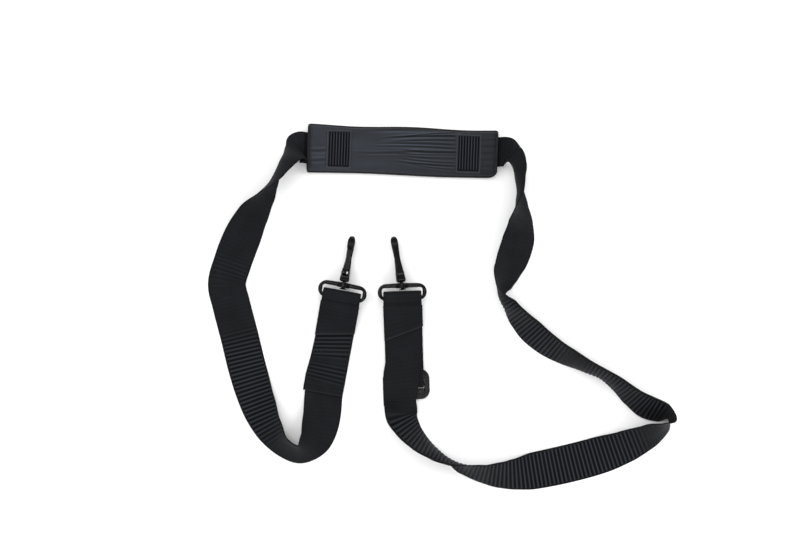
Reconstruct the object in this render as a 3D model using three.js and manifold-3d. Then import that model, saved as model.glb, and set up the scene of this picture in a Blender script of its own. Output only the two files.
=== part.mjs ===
// A padded webbing shoulder strap with a swivel snap hook at each end, laid out flat on a table.
// Millimetres, +Z up. The origin is on the table, under the middle of the laid-out strap.
import * as THREE from "three";
import { mergeVertices } from "three/addons/utils/BufferGeometryUtils.js";
import Module from "manifold-3d";

const wasm = await Module();
wasm.setup();

// Driving dimensions
const GAP = 0.35; // clearance between pieces that touch
const WEB_WIDTH = 38; // 1.5 inch webbing
const WEB_THICK = 1.8;
const RIBBON_STEP = 7; // length of one straight piece of a strand

const PAD_LENGTH = 190;
const PAD_WIDTH = 48;
const PAD_SKIN = 1.4; // cover and backing thickness
const PAD_FOAM = 5.2;
const PAD_CENTRE = [-40, 156.5];
const PAD_TURN = -2; // degrees about Z
const WINDOW_LENGTH = 21; // openings in the cover that show the webbing
const WINDOW_WIDTH = 35;
const WINDOW_AT = 64.5; // from the pad's middle
const WEB_LEAD = 3; // webbing that runs straight past each end of the pad

const RING_WIDTH = 49; // outside, along the webbing's width
const RING_DEPTH = 17.2;
const RING_ROD = 4.3;
const BOSS_RADIUS = 5.8;
const BOSS_HALF = 2.6;
const BOSS_BORE = 2.6; // loose on the stem, so the hook can lean
const STEM_RADIUS = 1.9;
const HEAD_RADIUS = 3.6;

const HOOK_BASE = 3.6; // from the ring's top bar to the hook's foot
const HOOK_ARC = 39.5; // centre of the hook's round top
const HOOK_OUTER = 10.2;
const HOOK_INNER = 5.2;
const FOOT_HALF = 4.9; // half width of the foot, tapering to the shank
const SHANK_HALF = 2.9;
const STEM_DEPTH = 8; // of the stem inside the foot

const GATE_PIVOT = [12.6, 6.4]; // along the hook, and towards the gate's side
const GATE_PIN = 0.9;
const GATE_LUG = 2.4;
const GATE_HALF = 2.1;
const GATE_TIP = [HOOK_ARC + 0.5, 3.4];
const GATE_THICK = 2.4;

const SLIDER_WIDTH = 46.5;
const SLIDER_DEPTH = 30;
const SLIDER_THICK = 4.4;
const SLIDER_BAR = 4.6;
const SLIDER_CORNER = 9;
const SLIDER_SHIFT = 0.75; // to the side of the ring's middle
const SLIDER_SLOT = 38.9; // length of its two slots, which sit nearer one end than the other
const SLOT_SHIFT = -1.2;
const SLIDER_TAB = 10; // how far the solid corner reaches into the lower slot
const SLIDER_ROD = 1.0;
const SLIDER_ROD_Z = 3.5;

// Heights that follow from them
const SWIVEL_Z = HOOK_OUTER + 0.2; // the hook's edge just clears the table
const BAR_Y = -(RING_DEPTH - RING_ROD); // lower bar of the ring, from its top bar
const PAD_WEB_Z = PAD_SKIN + GAP + PAD_FOAM + GAP; // underside of the webbing in the pad
const COVER_Z = PAD_WEB_Z + WEB_THICK + GAP;
const OVER_SLIDER = SLIDER_ROD_Z + SLIDER_ROD + 0.3 + WEB_THICK + GAP; // underside of the front leg
const FOLD_Y = BAR_Y + 3.3; // the loose fold stands a little past the bar
const LOOP_RADIUS = RING_ROD / 2 + 0.4 + WEB_THICK / 2; // middle of the webbing round the ring

// Ring frames: top bar's middle, and the turn about Z of the ring, and of the hook on it
const LEFT = { at: [-98.6, 22], turn: -10.5, lean: 0, gate: 1 };
const RIGHT = { at: [-40.5, 21.5], turn: 2, lean: 8, gate: -1 };
const FRONT_LEG = 97; // from the top bar down to the end of the left fold
const PATCH_LEG = 44;
const SLIDER_Y = -99;
const FRONT_SHIFT = -3.5; // sideways drift of each layer from the ring to the slider
const BACK_SHIFT = -0.5;

const COLOURS = {
  webbing: [0x17181b, 0.85, 0.0],
  pad: [0x22252b, 0.8, 0.0],
  foam: [0x2a2a2a, 0.95, 0.0],
  metal: [0x0b0b0c, 0.3, 0.6],
  plastic: [0x121213, 0.4, 0.0],
  steel: [0x8c8f93, 0.3, 1.0],
};

const group = new THREE.Group();

function finish(kind) {
  const [color, roughness, metalness] = COLOURS[kind];
  return new THREE.MeshStandardMaterial({ color, roughness, metalness });
}

function add(parent, name, geometry, kind) {
  const mesh = new THREE.Mesh(geometry, finish(kind));
  mesh.name = name;
  parent.add(mesh);
  return mesh;
}

function frameAt(parent, [x, y], z, degrees) {
  const frame = new THREE.Group();
  frame.position.set(x, y, z);
  frame.rotation.z = THREE.MathUtils.degToRad(degrees);
  parent.add(frame);
  return frame;
}

// A closed geometry as a manifold-3d solid.
function solid(geometry) {
  const bare = geometry.clone();
  bare.deleteAttribute("normal");
  bare.deleteAttribute("uv");
  const merged = mergeVertices(bare, 1e-4);
  return new wasm.Manifold(
    new wasm.Mesh({
      numProp: 3,
      vertProperties: new Float32Array(merged.attributes.position.array),
      triVerts: new Uint32Array(merged.index.array),
    }),
  );
}

function geometryOf(manifold) {
  const mesh = manifold.getMesh();
  const geometry = new THREE.BufferGeometry();
  geometry.setAttribute("position", new THREE.BufferAttribute(mesh.vertProperties, 3));
  geometry.setIndex(new THREE.BufferAttribute(mesh.triVerts, 1));
  return geometry;
}

function box(x, y, z, cx = 0, cy = 0, cz = 0) {
  return new THREE.BoxGeometry(x, y, z).translate(cx, cy, cz);
}

function cylinderX(radius, length, y, z, cx = 0, sides = 20) {
  const made = new THREE.CylinderGeometry(radius, radius, length, sides);
  return made.rotateZ(Math.PI / 2).translate(cx, y, z);
}

function cylinderY(radius, y0, y1, sides = 24) {
  const made = new THREE.CylinderGeometry(radius, radius, y1 - y0, sides);
  return made.translate(0, (y0 + y1) / 2, 0);
}

// A shape drawn in (Y, Z), given thickness along X from x0 to x1.
function extrudeX(shape, x0, x1, curveSegments = 12) {
  const made = new THREE.ExtrudeGeometry(shape, {
    depth: x1 - x0,
    bevelEnabled: false,
    curveSegments,
  });
  const turn = new THREE.Matrix4().makeBasis(
    new THREE.Vector3(0, 1, 0),
    new THREE.Vector3(0, 0, 1),
    new THREE.Vector3(1, 0, 0),
  );
  return made.applyMatrix4(turn).translate(x0, 0, 0);
}

// A strand of webbing through hand-placed points [x, y, roll, base]. The roll in degrees turns the
// webbing about its own line, and its lower edge stays at the height base.
function strand(points, width = WEB_WIDTH, thick = WEB_THICK) {
  const line = new THREE.CatmullRomCurve3(
    points.map(([x, y]) => new THREE.Vector3(x, y, 0)),
    false,
    "centripetal",
  );
  const setting = new THREE.CatmullRomCurve3(
    points.map(([, , roll, base = 0]) => new THREE.Vector3(roll, base, 0)),
    false,
    "catmullrom",
    0.3,
  );
  const steps = Math.ceil(line.getLength() / RIBBON_STEP);
  const positions = [];
  for (let i = 0; i <= steps; i++) {
    const t = line.getUtoTmapping(i / steps);
    const middle = line.getPoint(t);
    const along = line.getTangent(t);
    const { x: roll, y: base } = setting.getPoint(t);
    const angle = THREE.MathUtils.degToRad(roll);
    const across = new THREE.Vector3(-along.y, along.x, 0)
      .multiplyScalar(Math.cos(angle))
      .add(new THREE.Vector3(0, 0, Math.sin(angle)));
    const through = new THREE.Vector3().crossVectors(along, across);
    const rise = (width / 2) * Math.abs(Math.sin(angle)) + (thick / 2) * Math.abs(Math.cos(angle));
    middle.z = Math.max(base, 0) + rise;
    for (const [a, b] of [[1, -1], [1, 1], [-1, 1], [-1, -1]]) {
      const corner = middle
        .clone()
        .addScaledVector(across, (a * width) / 2)
        .addScaledVector(through, (b * thick) / 2);
      positions.push(corner.x, corner.y, corner.z);
    }
  }
  const index = [];
  for (let i = 0; i < steps; i++) {
    for (let k = 0; k < 4; k++) {
      const a = 4 * i + k;
      const b = 4 * i + ((k + 1) % 4);
      index.push(a, b, a + 4, b, b + 4, a + 4);
    }
  }
  const last = 4 * steps;
  index.push(0, 2, 1, 0, 3, 2);
  index.push(last, last + 1, last + 2, last, last + 2, last + 3);
  const geometry = new THREE.BufferGeometry();
  geometry.setAttribute("position", new THREE.Float32BufferAttribute(positions, 3));
  geometry.setIndex(index);
  return geometry;
}

// Webbing bent in the (Y, Z) plane: a band along a path, as wide as the webbing.
function band(path, width = WEB_WIDTH, thick = WEB_THICK) {
  const outline = [];
  const back = [];
  path.forEach((point, i) => {
    const before = path[Math.max(i - 1, 0)];
    const after = path[Math.min(i + 1, path.length - 1)];
    const side = new THREE.Vector2(before.y - after.y, after.x - before.x)
      .normalize()
      .multiplyScalar(thick / 2);
    outline.push(point.clone().add(side));
    back.unshift(point.clone().sub(side));
  });
  return extrudeX(new THREE.Shape([...outline, ...back]), -width / 2, width / 2);
}

// Moves a band sideways, from nothing at the ring's bar to the whole shift at the slider.
function drift(geometry, shift) {
  const place = geometry.attributes.position;
  for (let i = 0; i < place.count; i++) {
    const share = (BAR_Y - place.getY(i)) / (BAR_Y - SLIDER_Y);
    place.setX(i, place.getX(i) + shift * Math.min(Math.max(share, 0), 1));
  }
  return geometry;
}

// Points round a circle in the (Y, Z) plane, from one angle to another, in degrees.
function arc(y, z, radius, from, to, count = 10) {
  const points = [];
  for (let i = 0; i <= count; i++) {
    const angle = THREE.MathUtils.degToRad(from + ((to - from) * i) / count);
    points.push(new THREE.Vector2(y + radius * Math.cos(angle), z + radius * Math.sin(angle)));
  }
  return points;
}

// A smooth rise from one (Y, Z) point to another, level at both ends.
function rise([y0, z0], [y1, z1], count = 8) {
  const points = [];
  for (let i = 0; i <= count; i++) {
    const t = i / count;
    points.push(new THREE.Vector2(y0 + (y1 - y0) * t, z0 + (z1 - z0) * t * t * (3 - 2 * t)));
  }
  return points;
}

// The pad: cover with two windows, foam, and a backing that closes it underneath.
function pad() {
  const frame = frameAt(group, PAD_CENTRE, 0, PAD_TURN);
  const top = COVER_Z + PAD_SKIN;
  let cover = solid(box(PAD_LENGTH, PAD_WIDTH, top, 0, 0, top / 2));
  const inside = PAD_WIDTH - 2 * PAD_SKIN;
  cover = cover.subtract(solid(box(PAD_LENGTH + 2, inside, COVER_Z + 2, 0, 0, COVER_Z / 2 - 1)));
  for (const side of [-1, 1]) {
    const window = box(WINDOW_LENGTH, WINDOW_WIDTH, 9, side * WINDOW_AT, 0, top);
    cover = cover.subtract(solid(window));
  }
  add(frame, "pad_cover", geometryOf(cover), "pad");
  const soft = inside - 2 * GAP;
  add(frame, "pad_backing", box(PAD_LENGTH, soft, PAD_SKIN, 0, 0, PAD_SKIN / 2), "pad");
  const foamZ = PAD_SKIN + GAP + PAD_FOAM / 2;
  add(frame, "pad_foam", box(PAD_LENGTH - 4, soft, PAD_FOAM, 0, 0, foamZ), "foam");
  const run = box(PAD_LENGTH + 2 * WEB_LEAD, WEB_WIDTH, WEB_THICK, 0, 0, PAD_WEB_Z + WEB_THICK / 2);
  add(frame, "pad_webbing", run, "webbing");
}

// A point of a turned frame, in the group.
function place({ at, turn }, x, y) {
  const angle = THREE.MathUtils.degToRad(turn);
  return [
    at[0] + x * Math.cos(angle) - y * Math.sin(angle),
    at[1] + x * Math.sin(angle) + y * Math.cos(angle),
  ];
}

const padFrame = { at: PAD_CENTRE, turn: PAD_TURN };
const padEnd = PAD_LENGTH / 2 + WEB_LEAD + 3 * GAP;

// From the pad's left end, over a half twist and a kink, round the bottom and up to the left hook.
function leftWebbing() {
  const end = FRONT_LEG + 6;
  return strand([
    [...place(padFrame, -padEnd, 0), 0, PAD_WEB_Z],
    [...place(padFrame, -padEnd - 3, 0), 8, PAD_WEB_Z],
    [-149, 154, 52, 4],
    [-156, 145, 66, 1],
    [-162, 134, 78],
    [-168, 123, 92],
    [-177, 110, 114],
    [-189, 91, 141],
    [-201, 67, 166],
    [-210, 44, 180],
    [-215.5, 23, 182],
    [-211, 2, 182],
    [-203, -29, 180],
    [-194, -65, 180],
    [-184, -95, 194],
    [-173.5, -118, 214],
    [-159, -137, 234],
    [-141, -144.5, 236],
    [-127, -133, 214],
    [-121, -112, 192],
    [...place(LEFT, 0, -end - 8), 181],
    [...place(LEFT, 0, -end), 180],
  ]);
}

// From the pad's right end, over three half twists and a turned-back corner, to the slider.
function rightWebbing() {
  const end = -SLIDER_Y + SLIDER_DEPTH / 2 + 1;
  return strand([
    [...place(padFrame, padEnd, 0), 0, PAD_WEB_Z],
    [...place(padFrame, padEnd + 3, 0), 10, PAD_WEB_Z],
    [69, 149.5, 60, 4],
    [74, 140, 74, 1],
    [75.5, 128, 84],
    [77, 116, 93],
    [76.5, 103, 109],
    [77, 84, 133],
    [75, 66, 150],
    [70, 50, 150],
    [63.5, 35, 138],
    [59, 22, 119],
    [59, 12, 92],
    [66, 0, 70],
    [76.5, -12, 59],
    [88, -24, 51],
    [102, -36, 53],
    [121, -48, 60],
    [143, -60, 70],
    [158, -67, 74],
    [174, -78, 68],
    [188, -89, 60],
    [203, -99, 51],
    [217, -104.5, 56],
    [226, -110, 82],
    [221, -118.5, 112],
    [205, -128, 136],
    [180, -139.5, 156],
    [153, -149, 176],
    [123, -157, 180],
    [93, -163, 172],
    [72, -166, 150],
    [56, -166.5, 137],
    [38, -164.5, 122],
    [20, -159, 109],
    [5, -152, 90],
    [-9, -143, 75],
    [-25, -131.5, 62],
    [-36, -117.5, 48, 1],
    [...place(RIGHT, FRONT_SHIFT - 1, -end - 13), 31, 3],
    [...place(RIGHT, FRONT_SHIFT, -end - 5), 8, OVER_SLIDER - 0.6],
    [...place(RIGHT, FRONT_SHIFT, -end), 0, OVER_SLIDER],
  ]);
}

// The left end: the webbing goes through the ring and is folded down onto itself.
function leftEnd() {
  const frame = frameAt(group, LEFT.at, 0, LEFT.turn);
  const low = WEB_THICK / 2;
  const second = low + WEB_THICK + GAP;
  const back = SWIVEL_Z - LOOP_RADIUS;
  const front = SWIVEL_Z + LOOP_RADIUS;
  add(
    frame,
    "left_end_loop",
    band([
      new THREE.Vector2(-FRONT_LEG - 6 + GAP, low),
      ...rise([-PATCH_LEG - 12, low], [BAR_Y - 3, back]),
      ...arc(FOLD_Y, SWIVEL_Z, LOOP_RADIUS, -90, 90),
      ...rise([BAR_Y - 3, front], [-PATCH_LEG - 6, second]),
      new THREE.Vector2(-FRONT_LEG, second),
    ]),
    "webbing",
  );
  const above = WEB_THICK + GAP;
  add(
    frame,
    "left_end_patch",
    band(
      rise([BAR_Y - 3, front + above], [-PATCH_LEG - 6, second + above]).slice(1),
      WEB_WIDTH + 1,
    ),
    "webbing",
  );
}

// The right end: the webbing comes over the slider, goes through the ring, and is sewn round the
// slider's middle rod.
function rightEnd() {
  const frame = frameAt(group, RIGHT.at, 0, RIGHT.turn);
  const over = OVER_SLIDER + WEB_THICK / 2;
  const wrap = SLIDER_ROD + 0.3 + WEB_THICK / 2;
  const back = SWIVEL_Z - LOOP_RADIUS;
  const front = SWIVEL_Z + LOOP_RADIUS;
  const start = SLIDER_Y - SLIDER_DEPTH / 2 - 1 + GAP;
  add(
    frame,
    "right_front_leg",
    drift(
      band([
        new THREE.Vector2(start, over),
        new THREE.Vector2(-70, over),
        ...rise([-62, over], [BAR_Y - 3, front]),
        ...arc(FOLD_Y, SWIVEL_Z, LOOP_RADIUS, 90, 0, 5),
      ]),
      FRONT_SHIFT,
    ),
    "webbing",
  );
  add(
    frame,
    "right_back_leg",
    drift(
      band([
        ...arc(FOLD_Y, SWIVEL_Z, LOOP_RADIUS, -9, -90, 5),
        ...rise([BAR_Y - 3, back], [-50, SLIDER_ROD_Z + wrap]),
        ...arc(SLIDER_Y, SLIDER_ROD_Z, wrap, 90, 300, 12),
      ]),
      BACK_SHIFT,
    ),
    "webbing",
  );
  const above = WEB_THICK + GAP;
  add(
    frame,
    "right_end_patch",
    band(
      rise([BAR_Y - 3, front + above], [-62, over + above]).slice(1, 7),
      WEB_WIDTH + 1,
    ),
    "webbing",
  );
}

function roundedRect(width, depth, radius) {
  const shape = new THREE.Shape();
  const x = width / 2;
  const y = depth / 2;
  shape.moveTo(-x + radius, -y);
  shape.lineTo(x - radius, -y);
  shape.absarc(x - radius, -y + radius, radius, -Math.PI / 2, 0);
  shape.lineTo(x, y - radius);
  shape.absarc(x - radius, y - radius, radius, 0, Math.PI / 2);
  shape.lineTo(-x + radius, y);
  shape.absarc(-x + radius, y - radius, radius, Math.PI / 2, Math.PI);
  shape.lineTo(-x, -y + radius);
  shape.absarc(-x + radius, -y + radius, radius, Math.PI, 1.5 * Math.PI);
  return shape;
}

// The three-bar slider that sets the strap's length.
function slider() {
  const frame = frameAt(group, RIGHT.at, 0, RIGHT.turn);
  const outline = roundedRect(SLIDER_WIDTH, SLIDER_DEPTH, SLIDER_CORNER);
  const bevel = 0.8;
  const rim = new THREE.ExtrudeGeometry(outline, {
    depth: SLIDER_THICK - 2 * bevel,
    bevelThickness: bevel,
    bevelSize: bevel,
    bevelOffset: -bevel,
    bevelSegments: 1,
    curveSegments: 6,
  }).translate(0, 0, bevel);
  const rod = cylinderX(SLIDER_ROD, SLIDER_WIDTH - 4, 0, SLIDER_ROD_Z - 0.2);
  const slotDepth = SLIDER_DEPTH - 2 * SLIDER_BAR;
  const slots = box(SLIDER_SLOT, slotDepth, 2 * SLIDER_THICK, SLOT_SHIFT, 0, SLIDER_THICK / 2);
  const tabDepth = slotDepth / 2 - 2 * (WEB_THICK + GAP);
  const tab = box(
    SLIDER_TAB + 1,
    tabDepth + 1,
    SLIDER_THICK - 1,
    SLOT_SHIFT + (SLIDER_SLOT - SLIDER_TAB + 1) / 2,
    (tabDepth - slotDepth - 1) / 2,
    SLIDER_THICK / 2,
  );
  const made = geometryOf(solid(rim).subtract(solid(slots)).add(solid(rod)).add(solid(tab)));
  add(frame, "slider", made.translate(SLIDER_SHIFT, SLIDER_Y, 0), "plastic");
}

// The oblong ring: its top bar swells into the boss that the hook's stem turns in.
function ringGeometry() {
  const half = RING_WIDTH / 2;
  const end = RING_DEPTH / 2;
  const top = RING_ROD / 2;
  const middle = top - end;
  const outline = new THREE.Shape();
  outline.moveTo(-half + end, middle - end);
  outline.lineTo(half - end, middle - end);
  outline.absarc(half - end, middle, end, -Math.PI / 2, Math.PI / 2);
  outline.quadraticCurveTo(0, top + 0.8, -half + end, top);
  outline.absarc(-half + end, middle, end, Math.PI / 2, 1.5 * Math.PI);
  const slot = roundedRect(RING_WIDTH - 2 * RING_ROD, RING_DEPTH - 2 * RING_ROD, 2.2);
  const hole = new THREE.Path(slot.getPoints(5).map((p) => new THREE.Vector2(p.x, p.y + middle)));
  outline.holes.push(hole);
  const bevel = 1.5;
  const bars = new THREE.ExtrudeGeometry(outline, {
    depth: RING_ROD - 2 * bevel,
    bevelThickness: bevel,
    bevelSize: bevel,
    bevelOffset: -bevel,
    bevelSegments: 2,
    curveSegments: 8,
  }).translate(0, 0, bevel - RING_ROD / 2);
  const boss = solid(cylinderY(BOSS_RADIUS, -BOSS_HALF, BOSS_HALF));
  const bore = solid(cylinderY(BOSS_BORE, -BOSS_HALF - 1, BOSS_HALF + 1));
  return geometryOf(solid(bars).add(boss).subtract(bore));
}

// The side view of the hook in (Y, Z), with its gate on the +Z side.
function hookSide() {
  const side = new THREE.Shape();
  side.moveTo(HOOK_BASE, -5.6);
  side.lineTo(HOOK_BASE, 5.6);
  side.quadraticCurveTo(HOOK_BASE + 0.5, 9.6, HOOK_BASE + 5, 9.6);
  side.lineTo(15.5, 9.6);
  side.quadraticCurveTo(17, 9.4, 17, 8);
  side.lineTo(17, 1);
  side.quadraticCurveTo(17.5, -HOOK_INNER, 22, -HOOK_INNER);
  side.lineTo(HOOK_ARC, -HOOK_INNER);
  side.absarc(HOOK_ARC, 0, HOOK_INNER, -Math.PI / 2, Math.PI / 2);
  side.lineTo(HOOK_ARC - 2.1, HOOK_INNER);
  side.quadraticCurveTo(HOOK_ARC - 3.3, 7.6, HOOK_ARC - 1.7, 9.6);
  side.lineTo(HOOK_ARC, HOOK_OUTER);
  side.absarc(HOOK_ARC, 0, HOOK_OUTER, Math.PI / 2, -Math.PI / 2, true);
  side.lineTo(12, -HOOK_OUTER);
  side.quadraticCurveTo(HOOK_BASE + 1, -9.6, HOOK_BASE, -5.6);
  return side;
}

// The front view of the hook in (X, Y): a wide foot that tapers to the shank.
function hookFront() {
  const front = new THREE.Shape();
  const tip = HOOK_ARC + HOOK_OUTER;
  front.moveTo(-FOOT_HALF + 1.2, HOOK_BASE);
  front.lineTo(FOOT_HALF - 1.2, HOOK_BASE);
  front.lineTo(FOOT_HALF, HOOK_BASE + 1.6);
  front.quadraticCurveTo(FOOT_HALF - 1, 15, SHANK_HALF, 27);
  front.lineTo(SHANK_HALF + 0.7, tip - 6);
  front.quadraticCurveTo(SHANK_HALF + 0.5, tip, 0, tip + 0.2);
  front.quadraticCurveTo(-SHANK_HALF - 0.5, tip, -SHANK_HALF - 0.7, tip - 6);
  front.lineTo(-SHANK_HALF, 27);
  front.quadraticCurveTo(-FOOT_HALF + 1, 15, -FOOT_HALF, HOOK_BASE + 1.6);
  front.closePath();
  return front;
}

function hookGeometry() {
  const reach = HOOK_OUTER + 2;
  const front = new THREE.ExtrudeGeometry(hookFront(), {
    depth: 2 * reach,
    bevelEnabled: false,
    curveSegments: 6,
  }).translate(0, 0, -reach);
  const [pivotY, pivotZ] = GATE_PIVOT;
  const slot = box(2 * (GATE_HALF + GAP), 9.4, 9, 0, pivotY + 1.8, 7.4);
  const pinHole = cylinderX(GATE_PIN + 0.3, 20, pivotY, pivotZ);
  const stemHole = cylinderY(STEM_RADIUS + 0.35, 0, HOOK_BASE + STEM_DEPTH + GAP);
  return solid(extrudeX(hookSide(), -7, 7, 14))
    .intersect(solid(front))
    .subtract(solid(slot))
    .subtract(solid(pinHole))
    .subtract(solid(stemHole));
}

// The sprung gate: a lug on the pin and a blade that closes against the inside of the nose.
function gateGeometry() {
  const [pivotY, pivotZ] = GATE_PIVOT;
  const [tipY, tipZ] = GATE_TIP;
  const half = GATE_THICK / 2;
  const blade = new THREE.Shape();
  blade.moveTo(pivotY + 3, pivotZ - half - 0.6);
  blade.lineTo(tipY, tipZ - half);
  blade.lineTo(tipY + 0.2, tipZ + half - 0.5);
  blade.lineTo(tipY - 0.6, tipZ + half);
  blade.lineTo(pivotY + 5, pivotZ + half + 0.9);
  blade.lineTo(pivotY + 3, pivotZ + half + 0.9);
  const lug = cylinderX(GATE_LUG, GATE_HALF + 0.5, pivotY, pivotZ, (0.5 - GATE_HALF) / 2);
  const neck = box(GATE_HALF + 0.5, 4, 3, (0.5 - GATE_HALF) / 2, pivotY + 2.4, pivotZ);
  const bore = cylinderX(GATE_PIN + 0.35, 12, pivotY, pivotZ);
  return solid(extrudeX(blade, -GATE_HALF, GATE_HALF))
    .add(solid(lug))
    .add(solid(neck))
    .subtract(solid(bore));
}

// The coil of the gate's torsion spring, round the pin beside the lug.
function springGeometry() {
  const [y, z] = GATE_PIVOT;
  const middle = (0.8 + GATE_HALF) / 2;
  const coil = solid(cylinderX(2.1, GATE_HALF - 0.8, y, z, middle));
  return coil.subtract(solid(cylinderX(GATE_PIN + 0.35, 12, y, z)));
}

function stemGeometry() {
  const head = [
    new THREE.Vector2(0, -BOSS_HALF - 1.8),
    new THREE.Vector2(HEAD_RADIUS - 1, -BOSS_HALF - 1.8),
    new THREE.Vector2(HEAD_RADIUS, -BOSS_HALF - 1.3),
    new THREE.Vector2(HEAD_RADIUS, -BOSS_HALF - 0.8),
    new THREE.Vector2(STEM_RADIUS, -BOSS_HALF - 0.8),
    new THREE.Vector2(STEM_RADIUS, HOOK_BASE + STEM_DEPTH),
    new THREE.Vector2(0, HOOK_BASE + STEM_DEPTH),
  ];
  return new THREE.LatheGeometry(head, 20);
}

function hookAssembly(side, setting) {
  const ringFrame = frameAt(group, setting.at, SWIVEL_Z, setting.turn);
  add(ringFrame, side + "_ring", ringGeometry(), "metal");
  const frame = frameAt(ringFrame, [0, 0], 0, setting.lean);
  const facing = new THREE.Group();
  facing.rotation.y = setting.gate > 0 ? 0 : Math.PI;
  frame.add(facing);
  add(facing, side + "_swivel_stem", stemGeometry(), "metal");
  add(facing, side + "_hook", geometryOf(hookGeometry()), "metal");
  add(facing, side + "_gate", geometryOf(gateGeometry()), "metal");
  const [pivotY, pivotZ] = GATE_PIVOT;
  add(facing, side + "_gate_pin", cylinderX(GATE_PIN, 9.6, pivotY, pivotZ), "steel");
  add(facing, side + "_gate_spring", geometryOf(springGeometry()), "steel");
}

pad();
add(group, "left_webbing", leftWebbing(), "webbing");
add(group, "right_webbing", rightWebbing(), "webbing");
leftEnd();
rightEnd();
slider();
hookAssembly("left", LEFT);
hookAssembly("right", RIGHT);

// The origin goes under the middle of the laid-out strap.
group.updateMatrixWorld(true);
const bounds = new THREE.Box3().setFromObject(group, true);
const middle = bounds.getCenter(new THREE.Vector3());
group.position.set(-middle.x, -middle.y, -bounds.min.z);

export default group;
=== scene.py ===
"""A padded webbing shoulder strap with a swivel snap hook at each end, laid out on a pale table.

Lengths in the driving values are millimetres in the strap's own layout, and MM turns them into metres.
"""

import math
import random

import bmesh
import bpy
import numpy as np
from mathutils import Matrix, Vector


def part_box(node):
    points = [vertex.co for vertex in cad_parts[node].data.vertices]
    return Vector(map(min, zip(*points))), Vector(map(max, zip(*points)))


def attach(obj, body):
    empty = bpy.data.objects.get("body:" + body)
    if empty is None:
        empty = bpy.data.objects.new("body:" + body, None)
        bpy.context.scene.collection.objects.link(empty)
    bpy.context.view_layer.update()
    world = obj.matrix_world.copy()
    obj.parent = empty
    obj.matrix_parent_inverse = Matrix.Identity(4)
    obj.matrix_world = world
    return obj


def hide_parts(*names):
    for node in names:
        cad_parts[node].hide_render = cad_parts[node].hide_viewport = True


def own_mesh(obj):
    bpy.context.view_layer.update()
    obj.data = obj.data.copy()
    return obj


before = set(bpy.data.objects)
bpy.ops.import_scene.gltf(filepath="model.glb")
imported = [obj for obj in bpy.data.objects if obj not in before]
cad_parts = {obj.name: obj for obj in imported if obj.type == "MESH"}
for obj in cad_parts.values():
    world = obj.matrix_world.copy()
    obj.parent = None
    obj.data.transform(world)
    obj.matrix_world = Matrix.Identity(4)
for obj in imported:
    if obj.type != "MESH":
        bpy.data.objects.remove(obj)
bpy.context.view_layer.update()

MM = 0.001
WEB_WIDTH = 38.0
WEB_THICK = 1.8
GAP = 0.35  # between two layers of webbing
STATION = 0.6  # between the sections of a strand
ROUTE_STEPS = 6001  # points that measure a strand's length
EDGE_POWER = 24  # how square the webbing's edges are
RIB_REACH = 0.9  # of the half width
RIB_PITCH = 4.0
PLAIN_RIB = 0.012  # height of the ribs where bending hasn't opened them
SELVEDGE = 17.3  # from the webbing's middle to its darker edge
LOWEST = 0.05  # least height of the webbing over the table
CALM_END = 12.0  # of a strand, where it isn't cupped
LEAD_IN = 9.0  # of the strap's ends, hidden in the pad
TUCK_LENGTH = 18.0  # over which an edge that is drawn in comes back out
HEM = 1.8  # of the painted highlight at a cut end, which fades in over it
FOLD_END = 110.0  # of the left end's upper layer, below the ring's top bar

PAD_LENGTH = 190.0
PAD_WIDTH = 48.0
PAD_CENTRE = (-40.0, 156.5)
PAD_TURN = -2.0
PAD_WEB_Z = 7.3  # underside of the webbing inside the pad
PAD_TOP = 10.85
PAD_LOW = 0.15  # underside of the cover
PAD_SEAM_Z = 3.6  # where the cover's top and bottom meet
PAD_SLACK = 2.3  # by which the cover's upper edge draws in
CORNER = 2.5
WORN_CORNER = 9.0
WEB_LEAD = 3.0  # from the pad's end to the start of a strand, less three gaps
WEB_HIDDEN = 6.0  # from the pad's end to the end of the webbing inside it
WINDOW_AT = 64.5  # from the pad's middle to a window's
WINDOW_DRIFT = 1.2  # along the pad
WINDOW_LENGTH = 21.0
WINDOW_WIDTH = 35.0
WINDOW_SHIFT = -1.5  # across the pad
WINDOW_FLOOR = 8.3
RIM_OUT = 0.9  # from the window to the top of its rim of folded cloth
RIM_HEIGHT = 0.45

# Each end's own frame: where its origin is, and how many degrees it is turned.
LEFT = ((-98.6, 22.0), -10.5)
RIGHT = ((-40.5, 21.5), 2.0)
SWIVEL_Z = 10.4  # height of the rings and the swivels' axes
BAR_Y = -12.9  # of the bar that the webbing goes round
LOOP_RADIUS = 3.45
OVER_SLIDER = 6.95
FRONT_LEG = 97.0
PATCH_LEG = 44.0
SLIDER_Y = -99.0
SLIDER_DEPTH = 30.0
SLIDER_ROD = 1.0  # its radius
SLIDER_ROD_Z = 3.5
ROD_GAP = 0.3
FOLD_Y = BAR_Y + 3.3  # middle of the webbing's turn round the bar
BEND_Y = BAR_Y - 3.0  # where a layer is clear of the ring's bar
FRONT_SHIFT = -3.5  # sideways, at the slider, of the webbing over it and round its rod
BACK_SHIFT = -0.5

VIEW_WIDTH = 0.8  # metres of the table, across the picture
VIEW_CENTRE = (-42.5, 40.5)
LENS = 85.0
SENSOR = 36.0
WORLD_STRENGTH = 0.82
LIGHT_AIM = Vector((-0.03, 0.02, 0))  # metres
# Name, place and size in metres, and watts.
AREA_LIGHTS = [
    ("key_light", (-0.7, 1.0, 2.0), (2.2, 1.8), 30),
    ("side_light", (1.5, 0.4, 1.2), (0.5, 1.4), 14),
    ("low_light", (0.1, -1.6, 1.0), (1.6, 0.4), 10),
    ("strip_light", (-0.15, -0.1, 2.3), (0.9, 0.08), 5),
]
TABLE_HALF = 6.0  # metres

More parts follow.
